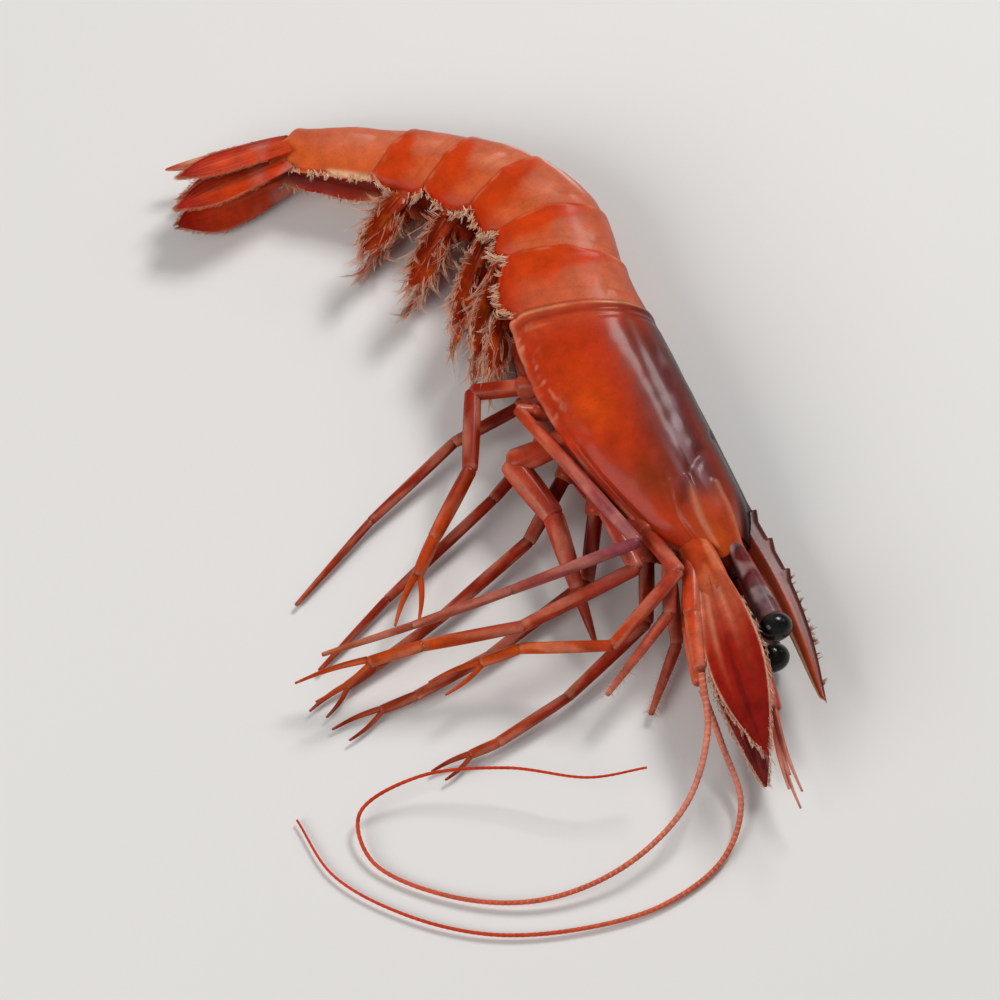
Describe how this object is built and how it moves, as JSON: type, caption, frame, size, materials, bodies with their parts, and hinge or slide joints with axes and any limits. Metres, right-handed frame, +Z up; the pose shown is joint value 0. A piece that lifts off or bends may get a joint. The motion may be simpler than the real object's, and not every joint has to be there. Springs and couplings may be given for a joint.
{
  "type": "raw shrimp",
  "caption": "Whole raw blue and red shrimp lying on its side, its tail curled in a C, with head spike, eyes, antennae, walking legs, swimmerets and tail fan.",
  "frame": {"origin": "under the middle of the whole animal, on the surface that it lies on", "axes": "+Z up from the surface, to its right side; +Y from the head towards the bend of the tail; +X towards its back"},
  "size_m": [0.0638, 0.1072, 0.0141],
  "materials": {
    "carapace": "wet thin shell, violet and dark over the back, orange on the flank",
    "tail": "wet thin shell, salmon orange with deeper red lower edges",
    "fan": "wet thin shell, bright orange red",
    "limb": "wet thin shell, salmon to orange red",
    "swimmeret": "damp soft leaf, orange brown with pale hairs",
    "whip": "damp, pinkish orange",
    "eye": "wet, nearly black"
  },
  "bodies": {
    "root": {"antenna_stem_left": "limb", "antenna_stem_right": "limb", "antenna_whip_left": "whip", "antenna_whip_right": "whip", "antennal_scale_left": "limb", "antennal_scale_right": "limb", "antennule_left": "limb", "antennule_right": "limb", "carapace": "carapace", "eye_left": "eye", "eye_right": "eye", "mouth_leg_left": "limb", "mouth_leg_right": "limb", "swimmeret_left_1": "swimmeret", "swimmeret_left_2": "swimmeret", "swimmeret_left_3": "swimmeret", "swimmeret_left_4": "swimmeret", "swimmeret_left_5": "swimmeret", "swimmeret_right_1": "swimmeret", "swimmeret_right_2": "swimmeret", "swimmeret_right_3": "swimmeret", "swimmeret_right_4": "swimmeret", "swimmeret_right_5": "swimmeret", "tail_blade_inner_left": "fan", "tail_blade_inner_right": "fan", "tail_blade_outer_left": "fan", "tail_blade_outer_right": "fan", "tail_segment_1": "tail", "tail_segment_2": "tail", "tail_segment_3": "tail", "tail_segment_4": "tail", "tail_segment_5": "tail", "tail_segment_6": "tail", "telson": "fan", "walking_leg_left_1": "limb", "walking_leg_left_2": "limb", "walking_leg_left_3": "limb", "walking_leg_left_4": "limb", "walking_leg_left_5": "limb", "walking_leg_right_1": "limb", "walking_leg_right_2": "limb", "walking_leg_right_3": "limb", "walking_leg_right_4": "limb", "walking_leg_right_5": "limb"}
  },
  "joints": []
}
